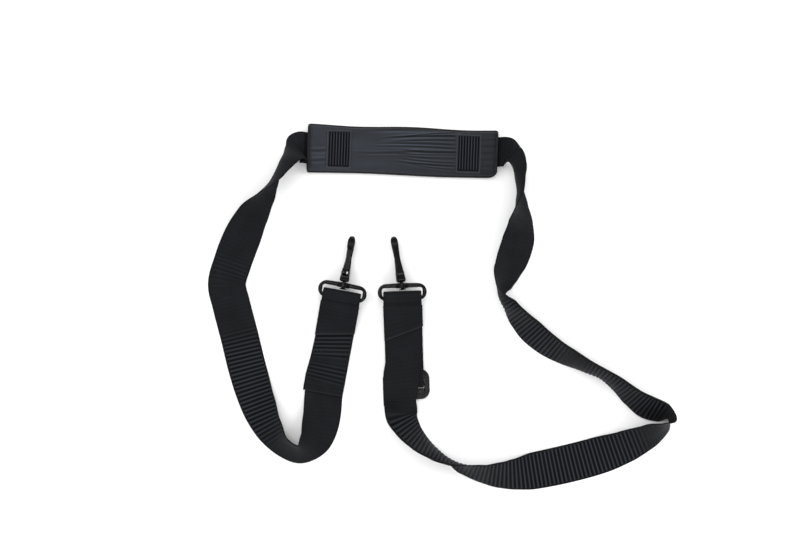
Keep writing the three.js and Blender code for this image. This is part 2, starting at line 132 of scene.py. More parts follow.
# Linear colours. A pair is the two ends of a ramp.
TABLE_COLOUR = (0.93, 0.93, 0.93)
WEB_YARN = ((0.0032, 0.0033, 0.004), (0.0074, 0.0078, 0.0098))
# A painted highlight on the webbing's rib crests, and painted shade in its rib grooves.
WEB_PAINTED_CREST_HIGHLIGHT = (0.024, 0.027, 0.035)
WEB_PAINTED_GROOVE_SHADE = (0.0008, 0.0008, 0.001)
WEB_SELVEDGE = (0.005, 0.005, 0.006)
# A painted highlight on the cut ends, where their edges catch the light.
WEB_HEM_HIGHLIGHT = (0.03, 0.032, 0.037)
PAD_YARN = ((0.0095, 0.011, 0.015), (0.021, 0.0245, 0.032))
# A painted highlight on the ridges beside the creases, and painted shade in the creases.
PAD_RIDGE_HIGHLIGHT = (0.046, 0.054, 0.072)
PAD_CREASE_SHADE = (0.0015, 0.0017, 0.0025)
PAD_SHADE = (0.0035, 0.004, 0.0055)
# A painted highlight along the raised rim round each window.
PAD_RIM_HIGHLIGHT = (0.034, 0.037, 0.043)
TAPE_YARN = ((0.005, 0.005, 0.006), (0.013, 0.014, 0.017))
THREAD_YARN = ((0.005, 0.0055, 0.007), (0.012, 0.0125, 0.015))
BLACK_COAT = ((0.0012, 0.0012, 0.0013), (0.003, 0.003, 0.0033))
BLACK_PLASTIC = ((0.003, 0.003, 0.0034), (0.005, 0.005, 0.0055))
BARE_STEEL = ((0.3, 0.3, 0.31), (0.55, 0.55, 0.56))


def middle_of(node):
    """The middle of a CAD node's box."""
    low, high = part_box(node)
    return (low + high) / 2


# The layout's origin in the frame, from where the pad's backing is.
SHIFT = middle_of("pad_backing") - Vector((*PAD_CENTRE, 0)) * MM
SHIFT.z = 0


# ---------------------------------------------------------------- camera, light and table


def camera():
    """A long lens straight above the strap, as in the photograph."""
    data = bpy.data.cameras.new("camera")
    data.lens = LENS
    data.sensor_width = SENSOR
    made = bpy.data.objects.new("camera", data)
    bpy.context.scene.collection.objects.link(made)
    made.location = SHIFT + Vector((*VIEW_CENTRE, 0)) * MM
    made.location.z = VIEW_WIDTH * LENS / SENSOR
    bpy.context.scene.camera = made


def area_light(name, location, size, watts):
    """A rectangular light that faces the strap."""
    data = bpy.data.lights.new(name, "AREA")
    data.shape = "RECTANGLE"
    data.size, data.size_y = size
    data.energy = watts
    made = bpy.data.objects.new(name, data)
    bpy.context.scene.collection.objects.link(made)
    made.location = location
    aim = LIGHT_AIM - made.location
    made.rotation_euler = aim.to_track_quat("-Z", "Y").to_euler()


def lights():
    """A white room with soft lights above and round the table."""
    world = bpy.data.worlds.new("studio")
    bpy.context.scene.world = world
    world.use_nodes = True
    background = world.node_tree.nodes["Background"]
    background.inputs["Color"].default_value = (1, 1, 1, 1)
    background.inputs["Strength"].default_value = WORLD_STRENGTH
    for name, location, size, watts in AREA_LIGHTS:
        area_light(name, location, size, watts)


def floor():
    """The pale table top, at height 0."""
    data = bpy.data.meshes.new("table_top")
    signs = ((-1, -1), (1, -1), (1, 1), (-1, 1))
    corners = [(x * TABLE_HALF, y * TABLE_HALF, 0) for x, y in signs]
    data.from_pydata(corners, [], [(0, 1, 2, 3)])
    made = bpy.data.objects.new("table_top", data)
    bpy.context.scene.collection.objects.link(made)
    pale = bpy.data.materials.new("pale_table")
    pale.use_nodes = True
    shader = pale.node_tree.nodes["Principled BSDF"]
    shader.inputs["Base Color"].default_value = (*TABLE_COLOUR, 1)
    shader.inputs["Roughness"].default_value = 0.8
    data.materials.append(pale)


# ---------------------------------------------------------------- materials


class Nodes:
    """A material's node tree, with short calls for what the materials here share."""

    def __init__(self, name):
        self.material = bpy.data.materials.new(name)
        self.material.use_nodes = True
        self.tree = self.material.node_tree
        self.shader = self.tree.nodes["Principled BSDF"]

    def new(self, kind, **values):
        made = self.tree.nodes.new(kind)
        for key, value in values.items():
            setattr(made, key, value)
        return made

    def link(self, a, b):
        self.tree.links.new(a, b)

    def set(self, **values):
        for key, value in values.items():
            self.shader.inputs[key.replace("_", " ")].default_value = value

    def attribute(self, name):
        return self.new("ShaderNodeAttribute", attribute_name=name).outputs["Fac"]

    def math(self, operation, a, b=None, c=None):
        made = self.new("ShaderNodeMath", operation=operation)
        for socket, value in zip(made.inputs, (a, b, c)):
            if value is None:
                continue
            if isinstance(value, (int, float)):
                socket.default_value = value
            else:
                self.link(value, socket)
        return made.outputs[0]

    def position(self):
        return self.new("ShaderNodeTexCoord").outputs["Object"]

    def noise(self, scale, detail=3.0, vector=None):
        made = self.new("ShaderNodeTexNoise")
        made.inputs["Scale"].default_value = scale
        made.inputs["Detail"].default_value = detail
        self.link(vector or self.position(), made.inputs["Vector"])
        return made.outputs["Fac"]

    def ramp(self, value, low, high, colours):
        """A blend from one colour, where value is low, to another, where it is high."""
        made = self.new("ShaderNodeValToRGB")
        for element, at, colour in zip(made.color_ramp.elements, (low, high), colours):
            element.position = at
            element.color = (*colour, 1)
        self.link(value, made.inputs["Fac"])
        return made.outputs["Color"]

    def mix(self, value, a, b):
        made = self.new("ShaderNodeMix", data_type="RGBA")
        self.link(value, made.inputs["Factor"])
        for socket, colour in ((made.inputs["A"], a), (made.inputs["B"], b)):
            if isinstance(colour, tuple):
                socket.default_value = (*colour, 1)
            else:
                self.link(colour, socket)
        return made.outputs["Result"]

    def clamped(self, value):
        made = self.new("ShaderNodeClamp")
        self.link(value, made.inputs["Value"])
        return made.outputs["Result"]

    def spread(self, value, low, high):
        made = self.new("ShaderNodeMapRange")
        made.inputs["To Min"].default_value = low
        made.inputs["To Max"].default_value = high
        self.link(value, made.inputs["Value"])
        return made.outputs["Result"]

    def bump(self, height, distance, strength=1.0):
        made = self.new("ShaderNodeBump")
        made.inputs["Strength"].default_value = strength
        made.inputs["Distance"].default_value = distance
        self.link(height, made.inputs["Height"])
        self.link(made.outputs["Normal"], self.shader.inputs["Normal"])

    def colour(self, socket):
        self.link(socket, self.shader.inputs["Base Color"])

    def roughness(self, socket):
        self.link(socket, self.shader.inputs["Roughness"])


def wave(nodes, value, pitch):
    """A smooth wave from 0 to 1 along a value in metres."""
    turned = nodes.math("MULTIPLY", value, 2 * math.pi / pitch)
    return nodes.math("MULTIPLY_ADD", nodes.math("SINE", turned), 0.5, 0.5)


def webbing_material():
    """Nylon webbing: fine weft ribs across it, warp yarns along it, darker selvedges, a little dust,
    painted highlights on rib crests and cut ends, and painted shade in rib grooves.
    """
    nodes = Nodes("webbing")
    along = nodes.attribute("along")
    across = nodes.attribute("across")
    weft = wave(nodes, along, 2.4 * MM)
    warp = wave(nodes, across, 1.3 * MM)
    twill = wave(nodes, nodes.math("MULTIPLY_ADD", across, 0.9, along), 1.2 * MM)
    crossed = nodes.math("MULTIPLY_ADD", twill, 0.25, weft)
    weave = nodes.math("MULTIPLY_ADD", warp, 0.45, crossed)
    shade = nodes.math("MULTIPLY_ADD", nodes.noise(38, 5), 0.9, nodes.math("MULTIPLY", weave, 0.22))
    plain = nodes.ramp(shade, 0.2, 0.85, WEB_YARN)
    # Painted light from the rib height: a painted highlight on the crests, painted shade in the
    # grooves.
    ridge = nodes.attribute("ridge")
    crest_highlight = nodes.clamped(nodes.math("MULTIPLY", ridge, 2.6))
    groove = nodes.clamped(nodes.math("MULTIPLY", ridge, -7.0))
    ribbed = nodes.mix(groove, nodes.mix(crest_highlight, plain, WEB_PAINTED_CREST_HIGHLIGHT), WEB_PAINTED_GROOVE_SHADE)
    edge = nodes.math("GREATER_THAN", nodes.math("ABSOLUTE", across), SELVEDGE * MM)
    whole = nodes.mix(edge, ribbed, WEB_SELVEDGE)
    # A painted highlight on the cut ends.
    nodes.colour(nodes.mix(nodes.attribute("hem"), whole, WEB_HEM_HIGHLIGHT))
    nodes.roughness(nodes.spread(nodes.noise(90), 0.5, 0.72))
    nodes.set(Sheen_Weight=0.01, Sheen_Roughness=0.5, Specular_IOR_Level=0.06)
    nodes.bump(weave, 0.16 * MM, 0.9)
    return nodes.material


def pad_material():
    """Coated blue-black cover cloth with a fine plain weave and long soft streaks, painted shade in the
    creases and toward the right end, and painted highlights on the crease ridges and window rims.
    """
    nodes = Nodes("pad_fabric")
    parts = nodes.new("ShaderNodeSeparateXYZ")
    nodes.link(nodes.position(), parts.inputs["Vector"])
    weft = wave(nodes, parts.outputs["X"], 0.8 * MM)
    warp = wave(nodes, parts.outputs["Y"], 0.8 * MM)
    weave = nodes.math("MULTIPLY", weft, warp)
    stretch = nodes.new("ShaderNodeMapping")
    stretch.inputs["Scale"].default_value = (0.25, 1.6, 1.0)
    nodes.link(nodes.position(), stretch.inputs["Vector"])
    streaks = nodes.noise(60, 4, stretch.outputs["Vector"])
    shade = nodes.math("MULTIPLY_ADD", weave, 0.2, nodes.math("MULTIPLY", streaks, 0.9))
    plain = nodes.ramp(shade, 0.25, 0.8, PAD_YARN)
    # Painted shade in the creases and a painted highlight on the ridges beside them, from the crease
    # depth.
    crease = nodes.attribute("crease")
    beside = nodes.clamped(nodes.math("MULTIPLY", crease, -2.6))
    crease_shade = nodes.clamped(nodes.math("MULTIPLY", crease, 1.5))
    creased = nodes.mix(crease_shade, nodes.mix(beside, plain, PAD_RIDGE_HIGHLIGHT), PAD_CREASE_SHADE)
    shaded = nodes.mix(nodes.attribute("shade"), creased, PAD_SHADE)
    # A painted highlight on the rim round each window.
    nodes.colour(nodes.mix(nodes.attribute("rim"), shaded, PAD_RIM_HIGHLIGHT))
    nodes.roughness(nodes.spread(nodes.noise(120), 0.5, 0.68))
    nodes.set(Sheen_Weight=0.04, Sheen_Roughness=0.45, Specular_IOR_Level=0.16)
    nodes.bump(weave, 0.08 * MM, 0.8)
    return nodes.material


def binding_material():
    """The grosgrain tape that binds the pad's edges."""
    nodes = Nodes("binding_tape")
    ribs = wave(nodes, nodes.attribute("along"), 1.1 * MM)
    shade = nodes.math("MULTIPLY_ADD", nodes.noise(70), 0.8, nodes.math("MULTIPLY", ribs, 0.25))
    nodes.colour(nodes.ramp(shade, 0.2, 0.9, TAPE_YARN))
    nodes.roughness(nodes.spread(nodes.noise(150), 0.55, 0.75))
    nodes.set(Sheen_Weight=0.03, Specular_IOR_Level=0.12)
    nodes.bump(ribs, 0.12 * MM, 0.8)
    return nodes.material


def thread_material():
    """Black sewing thread with a fine twist."""
    nodes = Nodes("thread")
    twist = nodes.noise(900, 2)
    nodes.colour(nodes.ramp(twist, 0.3, 0.7, THREAD_YARN))
    nodes.set(Roughness=0.6, Specular_IOR_Level=0.15)
    nodes.bump(twist, 0.05 * MM)
    return nodes.material


def metal_material():
    """Gloss black coating over die-cast metal, with faint orange peel and rubbed, duller patches."""
    nodes = Nodes("black_metal")
    wear = nodes.noise(140, 5)
    nodes.colour(nodes.ramp(wear, 0.35, 0.75, BLACK_COAT))
    nodes.roughness(nodes.spread(nodes.noise(220, 4), 0.07, 0.16))
    nodes.set(Specular_IOR_Level=0.08, Coat_Weight=0.05, Coat_Roughness=0.04)
    nodes.bump(nodes.noise(600, 2), 0.03 * MM, 0.5)
    return nodes.material


def plastic_material():
    """Moulded black plastic with a fine grain."""
    nodes = Nodes("slider_plastic")
    grain = nodes.noise(1500, 2)
    nodes.colour(nodes.ramp(grain, 0.3, 0.8, BLACK_PLASTIC))
    nodes.roughness(nodes.spread(nodes.noise(200), 0.22, 0.36))
    nodes.set(Specular_IOR_Level=0.12)
    nodes.bump(grain, 0.02 * MM, 0.6)
    return nodes.material


def steel_material():
    """Bare, lightly scratched steel, for the gates' pins and springs."""
    nodes = Nodes("bright_steel")
    scratches = nodes.noise(700, 4)
    nodes.colour(nodes.ramp(scratches, 0.3, 0.8, BARE_STEEL))
    nodes.roughness(nodes.spread(scratches, 0.22, 0.42))
    nodes.set(Metallic=1.0)
    return nodes.material


# ---------------------------------------------------------------- webbing


def spline(values, t, tension=None):
    """Points at t of a Catmull-Rom curve through values: centripetal, or uniform with a tension."""
    values = np.asarray(values, float)
    ends = [2 * values[0] - values[1]], [2 * values[-1] - values[-2]]
    padded = np.concatenate([ends[0], values, ends[1]])
    spans = len(values) - 1
    i = np.minimum((t * spans).astype(int), spans - 1)
    w = (t * spans - i)[:, None]
    p0, p1, p2, p3 = (padded[i + k] for k in range(4))
    if tension is None:
        d0, d1, d2 = (
            np.sqrt(np.linalg.norm(b - a, axis=1))[:, None] for a, b in ((p0, p1), (p1, p2), (p2, p3))
        )
        m1 = ((p1 - p0) / d0 - (p2 - p0) / (d0 + d1) + (p2 - p1) / d1) * d1
        m2 = ((p2 - p1) / d1 - (p3 - p1) / (d1 + d2) + (p3 - p2) / d2) * d1
    else:
        m1 = tension * (p2 - p0)
        m2 = tension * (p3 - p1)
    rise = -3 * p1 + 3 * p2 - 2 * m1 - m2
    turn = 2 * p1 - 2 * p2 + m1 + m2
    return p1 + m1 * w + rise * w**2 + turn * w**3


def route(points):
    """A strand as the CAD makes it: for each station its centre, its directions across and through,
    its length along the strand, and its number among the points."""
    table = np.array([(*point, 0)[:4] for point in points], float)
    fine = np.linspace(0, 1, ROUTE_STEPS)
    xy = spline(table[:, :2], fine)
    run = np.concatenate([[0], np.cumsum(np.linalg.norm(np.diff(xy, axis=0), axis=1))])
    count = round(run[-1] / STATION)
    length = np.linspace(0, run[-1], count + 1)
    t = np.interp(length, run, fine)
    xy = spline(table[:, :2], t)
    roll, base = spline(table[:, 2:], t, 0.3).T
    roll = np.radians(roll)
    base = np.maximum(base, 0)
    tangent = np.gradient(xy, axis=0)
    tangent /= np.linalg.norm(tangent, axis=1)[:, None]
    along = np.column_stack([tangent, np.zeros(len(t))])
    sideways = np.column_stack([-tangent[:, 1], tangent[:, 0], np.zeros(len(t))])
    across = sideways * np.cos(roll)[:, None] + np.outer(np.sin(roll), (0, 0, 1))
    through = np.cross(along, across)
    height = base + WEB_WIDTH / 2 * abs(np.sin(roll)) + WEB_THICK / 2 * abs(np.cos(roll))
    centres = np.column_stack([xy, height])
    number = t * (len(points) - 1)
    return centres, across, through, length, number


def bell(x, low, high, soft=0.8):
    """1 between low and high, fading to 0 over soft outside them."""
    inside = np.minimum(x - low, high - x) / soft + 1
    return np.clip(inside, 0, 1)


def eased(t):
    """From 0 to 1 as t does, level at both ends."""
    t = np.clip(t, 0, 1)
    return t * t * (3 - 2 * t)


# Places across the webbing, in half widths, closer together at its edges.
SECTION = np.concatenate([[-1, -0.985, -0.95], np.linspace(-0.89, 0.89, 19), [0.95, 0.985, 1]])


def around(upper, lower):
    """Columns of the upper face, and of the lower face the other way, without its shared edges."""
    return np.concatenate([upper, lower[:, ::-1][:, 1:-1]], axis=1)


def ring_faces(stations, size):
    """The faces of a tube of rings, each of so many points, with an end cap at both ends."""
    faces = []
    for a in range(0, (stations - 1) * size, size):
        for k in range(size):
            b = (k + 1) % size
            faces.append((a + k, a + b, a + size + b, a + size + k))
    faces.append(tuple(range(size))[::-1])
    faces.append(tuple(range((stations - 1) * size, stations * size)))
    return faces


def webbing_mesh(name, frames, length, ribs, cup, tucks, hem=0.0, pitch=RIB_PITCH):
    """A closed ribbon with rounded selvedges. frames holds each station's middle and its directions
    across and through; ribs is its rib height, cup how far its middle stands off the line of its
    edges, and tucks how far its near and far edges draw in."""
    centres, across, through = frames
    half = WEB_THICK / 2 * np.sqrt(1 - np.abs(SECTION) ** EDGE_POWER)
    inner = bell(np.abs(SECTION), -1, RIB_REACH, 0.06)
    hollow = np.broadcast_to(cup, len(length))
    near, far = (np.broadcast_to(tuck, len(length)) for tuck in tucks)
    arch = np.outer(hollow, 0.5 - SECTION**2)
    ridge = np.outer(ribs * np.sin(2 * math.pi * length / pitch), inner)
    off = around(arch + half + ridge, arch - half - ridge)
    # An arc's chord is shorter than the arc by 8/3 of its height squared, over its length.
    widths = WEB_WIDTH - 8 / 3 * hollow**2 / WEB_WIDTH - near - far
    centres = centres + across * ((near - far) / 2)[:, None]
    columns = around(SECTION[None, :], SECTION[None, :])[0]
    aside = np.outer(widths / 2, columns)
    ring = (
        centres[:, None, :]
        + across[:, None, :] * aside[:, :, None]
        + through[:, None, :] * off[:, :, None]
    )
    ring[:, :, 2] = np.maximum(ring[:, :, 2], LOWEST)
    stations, size = off.shape
    # A painted highlight that fades in toward the cut end.
    hem_highlight = hem * np.clip((length - length[-1]) / HEM + 1, 0, 1)
    made = mesh_object(name, ring.reshape(-1, 3), ring_faces(stations, size))
    float_attribute(made, "along", np.repeat(length, size) * MM)
    float_attribute(made, "across", np.tile(columns * WEB_WIDTH / 2, stations) * MM)
    # The rib height, which the material also turns into painted highlights on crests and painted shade
    # in grooves.
    float_attribute(made, "ridge", around(ridge, -ridge).reshape(-1))
    float_attribute(made, "hem", np.repeat(hem_highlight, size))
    made.data.materials.append(WEBBING)
    return made


def mesh_object(name, spots, faces):
    """An object from points in the layout's millimetres."""
    data = bpy.data.meshes.new(name)
    moved = np.asarray(spots, float) * MM + np.array(SHIFT)
    data.from_pydata(moved.tolist(), [], faces)
    fixed = bmesh.new()
    fixed.from_mesh(data)
    bmesh.ops.recalc_face_normals(fixed, faces=fixed.faces)
    fixed.to_mesh(data)
    fixed.free()
    data.polygons.foreach_set("use_smooth", [True] * len(data.polygons))
    made = bpy.data.objects.new(name, data)
    bpy.context.scene.collection.objects.link(made)
    return made


def float_attribute(made, name, values):
    """A value for each of a mesh's points, for its material."""
    layer = made.data.attributes.new(name, "FLOAT", "POINT")
    layer.data.foreach_set("value", np.asarray(values, np.float32))


def axes(setting):
    """The directions of a turned frame's X and Y."""
    angle = math.radians(setting[1])
    c = math.cos(angle)
    s = math.sin(angle)
    return np.array([c, s, 0]), np.array([-s, c, 0])


def turned(setting, spots):
    """Points of a turned frame, in the layout."""
    x_axis, y_axis = axes(setting)
    return np.asarray(spots) @ np.array([x_axis, y_axis, (0, 0, 1)]) + np.array([*setting[0], 0])


def place(setting, x, y):
    """The layout's x and y of a point in a turned frame."""
    return tuple(turned(setting, (x, y, 0))[:2].tolist())


PAD = (PAD_CENTRE, PAD_TURN)
PAD_END = PAD_LENGTH / 2 + WEB_LEAD + 3 * GAP

# Each strand's route: x, y, roll in degrees, and the height of its lower edge.
LEFT_END = FRONT_LEG + 6
LEFT_ROUTE = [
    (*place(PAD, -PAD_END, 0), 0, PAD_WEB_Z),
    (*place(PAD, -PAD_END - 3, 0), 8, PAD_WEB_Z),
    (-149, 154, 52, 4),
    (-156, 145, 66, 1),
    (-162, 134, 78),
    (-168, 123, 92),
    (-177, 110, 114),
    (-189, 91, 141),
    (-201, 67, 166),
    (-210, 44, 180),
    (-215.5, 23, 182),
    (-211, 2, 182),
    (-203, -29, 180),
    (-194, -65, 180),
    (-184, -95, 194),
    (-173.5, -118, 214),
    (-159, -137, 234),
    (-141, -144.5, 236),
    (-127, -133, 214),
    (-121, -112, 192),
    (*place(LEFT, 0, -LEFT_END - 8), 181),
    (*place(LEFT, 0, -LEFT_END), 180),
]

RIGHT_END = -SLIDER_Y + SLIDER_DEPTH / 2 + 1
RIGHT_ROUTE = [
    (*place(PAD, PAD_END, 0), 0, PAD_WEB_Z),
    (*place(PAD, PAD_END + 3, 0), 10, PAD_WEB_Z),
    (69, 149.5, 60, 4),
    (74, 140, 74, 1),
    (75.5, 128, 84),
    (77, 116, 93),
    (76.5, 103, 109),
    (77, 84, 133),
    (75, 66, 150),
    (70, 50, 150),
    (63.5, 35, 138),
    (59, 22, 119),
    (59, 12, 92),
    (66, 0, 70),
    (76.5, -12, 59),
    (88, -24, 51),
    (102, -36, 53),
    (121, -48, 60),
    (143, -60, 70),
    (158, -67, 74),
    (174, -78, 68),
    (188, -89, 60),
    (203, -99, 51),
    (217, -104.5, 56),
    (226, -110, 82),
    (221, -118.5, 112),
    (205, -128, 136),
    (180, -139.5, 156),
    (153, -149, 176),
    (123, -157, 180),
    (93, -163, 172),
    (72, -166, 150),
    (56, -166.5, 137),
    (38, -164.5, 122),
    (20, -159, 109),
    (5, -152, 90),
    (-9, -143, 75),
    (-25, -131.5, 62),
    (-36, -117.5, 48, 1),
    (*place(RIGHT, FRONT_SHIFT - 1, -RIGHT_END - 13), 31, 3),
    (*place(RIGHT, FRONT_SHIFT, -RIGHT_END - 5), 8, OVER_SLIDER - 0.6),
    (*place(RIGHT, FRONT_SHIFT, -RIGHT_END), 0, OVER_SLIDER),
]

# Stretches of a strand, as two point numbers of its route and a height in millimetres: first where its
# middle stands off the line of its edges, then where bending has opened its ribs.
LEFT_CUPPED = [(3.0, 5.6, 6.5), (14.0, 16.5, 3.0)]
RIGHT_CUPPED = [(2.6, 5.6, 6.5), (11.6, 12.4, 7.0), (18.0, 19.5, 3.5), (34.6, 35.6, 4.5)]
# The rib heights also set the painted highlights on the crests and the painted shade in the grooves.
LEFT_RIBBED = [(12.5, 15.0, 0.34), (9.2, 9.4, 0.06)]
RIGHT_RIBBED = [(12.8, 16.4, 0.36), (18.4, 22.6, 0.34), (26.8, 33.0, 0.4), (33.0, 38.5, 0.3)]
# How far the near and the far edge draw in, each at the strand's start and at its end.
LEFT_TUCKS = [(4.3, 0.0), (2.6, 0.0)]
RIGHT_TUCKS = [(6.0, 5.5), (2.6, 0.0)]


def wandering(length, seed):
    """A faint, uneven cupping along a strand: five long waves of random pitch, height and phase."""
    wander = random.Random(seed)
    cup = np.zeros(len(length))
    for _ in range(5):
        pitch = wander.uniform(45, 160)
        height = wander.uniform(0.08, 0.3)
        phase = wander.uniform(0, 6)
        cup += height * np.sin(2 * math.pi * length / pitch + phase)
    return cup


def led_in(values, count):
    """The values of a strand's stations, with the first one held over the hidden lead-in."""
    return np.concatenate([np.repeat(values[:1], count, axis=0), values])


def strand(name, node, points, ribbed, cupped, tucks, seed):
    """A free length of webbing from the pad to a sewn end, with a short lead-in inside the pad."""
    centres, across, through, length, number = route(points)
    ribs = np.full(len(length), PLAIN_RIB)
    for low, high, height in ribbed:
        ribs = np.maximum(ribs, height * bell(number, low, high))
    cup = wandering(length, seed)
    for low, high, height in cupped:
        cup = np.maximum(cup, height * eased(bell(number, low, high, 1.6)))
    cup *= bell(length, CALM_END, length[-1] - CALM_END, CALM_END)
    begun = 1 - eased(length / TUCK_LENGTH)
    ending = 1 - eased((length[-1] - length) / TUCK_LENGTH)
    hidden = np.arange(-LEAD_IN, -STATION / 2, STATION)
    count = len(hidden)
    step = centres[1] - centres[0]
    begin = centres[0] + hidden[:, None] * step / np.linalg.norm(step)
    frames = np.concatenate([begin, centres]), led_in(across, count), led_in(through, count)
    tucks = [led_in(a * begun + b * ending, count) for a, b in tucks]
    full = np.concatenate([hidden, length]) + LEAD_IN
    made = webbing_mesh(name, frames, full, led_in(ribs, count), led_in(cup, count), tucks)
    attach(made, "strap")
    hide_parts(node)


# ---------------------------------------------------------------- sewn ends


def arc(y, z, radius, start, stop):
    """24 points of an arc round (y, z), from one angle to another in degrees."""
    angles = np.radians(np.linspace(start, stop, 24))
    return [(y + radius * math.cos(a), z + radius * math.sin(a)) for a in angles]


def rise(start, stop):
    """40 points of a smooth rise from one (y, z) point to another, level at both ends."""
    t = np.linspace(0, 1, 40)
    run = stop[0] - start[0]
    climb = stop[1] - start[1]
    return [(start[0] + run * a, start[1] + climb * b) for a, b in zip(t, eased(t))]


def rise_height(start, stop, y):
    """The height of a rise at a place along it."""
    return start[1] + (stop[1] - start[1]) * eased((y - start[0]) / (stop[0] - start[0]))


def band(
    name,
    setting,
    path,
    ribs=PLAIN_RIB,
    ribbed=(),
    drift=0.0,
    slant=((0.0, 0.0),),
    tucked=((0.0, 0.0, 0.0),),
    wider=0.0,
    hem=0.0,
    pitch=RIB_PITCH,
):
    """Webbing bent in a turned frame's (Y, Z) plane, along a path of (y, z) points.

    ribbed holds stretches in y with their rib height, drift is its sideways shift at the slider,
    slant holds (y, slope) pairs that turn its cross lines, tucked holds (y, near, far) triples by
    which its edges draw in, wider is what its width gains, and hem is how strongly its cut end
    catches the light."""
    line = np.array(path, float)
    steps = np.linalg.norm(np.diff(line, axis=0), axis=1)
    line = line[np.concatenate([[True], steps > 1e-6])]
    run = np.concatenate([[0], np.cumsum(np.linalg.norm(np.diff(line, axis=0), axis=1))])
    length = np.linspace(0, run[-1], round(run[-1] / (pitch / 7)) + 1)
    y = np.interp(length, run, line[:, 0])
    z = np.interp(length, run, line[:, 1])
    tangent = np.column_stack([np.gradient(y), np.gradient(z)])
    tangent /= np.linalg.norm(tangent, axis=1)[:, None]
    x_axis, y_axis = axes(setting)
    aside = drift * np.clip((BAR_Y - y) / (BAR_Y - SLIDER_Y), 0, 1)
    centres = turned(setting, np.column_stack([aside, y, z]))
    across = np.tile(x_axis, (len(y), 1))
    places, slopes = zip(*slant)
    across = across + np.outer(np.interp(y, places, slopes), y_axis)
    through = np.outer(-tangent[:, 1], y_axis) + np.outer(tangent[:, 0], (0, 0, 1))
    height = np.full(len(length), ribs)
    for low, high, tall in ribbed:
        height = np.maximum(height, tall * bell(y, low, high, 6))
    places, near, far = zip(*tucked)
    tucks = [np.interp(y, places, edge) - wider / 2 for edge in (near, far)]
    return webbing_mesh(name, (centres, across, through), length, height, 0.0, tucks, hem, pitch)


def claimed(made, body, slot, *nodes):
    """Says which body a piece rides and which CAD nodes it replaces; its slot is not used."""
    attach(made, body)
    if nodes:
        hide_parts(*nodes)


SEWN = WEB_THICK / 2 + 0.06  # a stitch's middle, above the middle of the top layer
STITCH_LONG = 2.3
STITCH_HALF = 0.34  # of a stitch's width
STITCH_CROWN = 0.12  # that its middle stands up
# Places along a stitch, and its girth there.
STITCH_RINGS = [(-0.5, 0.35), (-0.3, 0.9), (0.0, 1.0), (0.3, 0.9), (0.5, 0.35)]
STITCH_SIDES = 6
ROW_HALF = 17.0  # of a row across the webbing
ROW_PITCH = 3.1


def stitched(name, spots, body, slot="webbing"):
    """Short, plump stitches, as one piece. Each spot is a stitch's middle and its direction."""
    points, faces = [], []
    for middle, direction in spots:
        along = np.array(direction) / np.linalg.norm(direction)
        up = np.array([0, 0, 1])
        aside = np.cross(along, up)
        first = len(points)
        for at, girth in STITCH_RINGS:
            lift = STITCH_CROWN * (1 - 4 * at**2)
            for k in range(STITCH_SIDES):
                turn = math.tau * k / STITCH_SIDES
                wide = math.cos(turn) * STITCH_HALF * girth
                high = math.sin(turn) * STITCH_HALF * girth * 0.8 + lift
                points.append(middle + along * at * STITCH_LONG + aside * wide + up * high)
        for face in ring_faces(len(STITCH_RINGS), STITCH_SIDES):
            faces.append(tuple(first + k for k in face))
    made = mesh_object(name, points, faces)
    made.data.materials.append(THREAD)
    claimed(made, body, slot)


def row_across(setting, y, slope, height):
    """Stitch spots in a slanting row across the webbing. height gives their height at a y."""
    x_axis, y_axis = axes(setting)
    count = int(2 * ROW_HALF / ROW_PITCH) + 1
    spots = []
    for x in np.linspace(-ROW_HALF, ROW_HALF, count):
        at = y + slope * x
        spots.append((turned(setting, (x, at, height(at))), x_axis + slope * y_axis))
    return spots


def sewn_patch(side, setting, path, slant):
    """The short layer sewn over an end."""
    made = band(side + "_sewn_patch", setting, path, slant=slant, wider=1.0, hem=0.6)
    claimed(made, "strap", "webbing", side + "_end_patch")


def left_end():
    """The webbing goes through the ring and is folded down onto itself, under a sewn patch."""
    low = WEB_THICK / 2
    layer = WEB_THICK + GAP
    second = low + layer
    back = SWIVEL_Z - LOOP_RADIUS
    front = SWIVEL_Z + LOOP_RADIUS
    patch_end = -PATCH_LEG - 6
    path = [
        (-LEFT_END, low),
        *rise((patch_end - 6, low), (BEND_Y, back)),
        *arc(FOLD_Y, SWIVEL_Z, LOOP_RADIUS, -90, 90),
        *rise((BEND_Y, front), (patch_end, second)),
        (-FOLD_END, second),
    ]
    ribs = [(-70, -50, 0.2), (-95, -84, 0.14)]
    slants = [(-LEFT_END, 0.0), (-FOLD_END, -0.14), (-80, 0.0), (-70, 0.15), (-50, 0.2), (-30, 0.0)]
    tucked = [(-FOLD_END, -2.2, 0.0), (-96, -2.4, 0.0), (-75, -0.8, 0.0), (-55, 0.0, 0.0)]
    fold = band("left_sewn_fold", LEFT, path, ribbed=ribs, slant=slants, tucked=tucked, hem=0.35)
    claimed(fold, "strap", "webbing", "left_end_loop")
    start = (BEND_Y, front + layer)
    stop = (patch_end, second + layer)
    sewn_patch("left", LEFT, rise(start, stop)[3:], [(patch_end, 0.2), (-26, 0.0)])
    spots = []
    for y, slope in ((-24, 0.0), (-45.8, 0.18)):
        spots += row_across(LEFT, y, slope, lambda at: rise_height(start, stop, at) + SEWN)
    for y, slope in ((-68, 0.14), (-93.5, -0.11)):
        spots += row_across(LEFT, y, slope, lambda at: second + SEWN)
    stitched("left_end_stitches", spots, "strap")


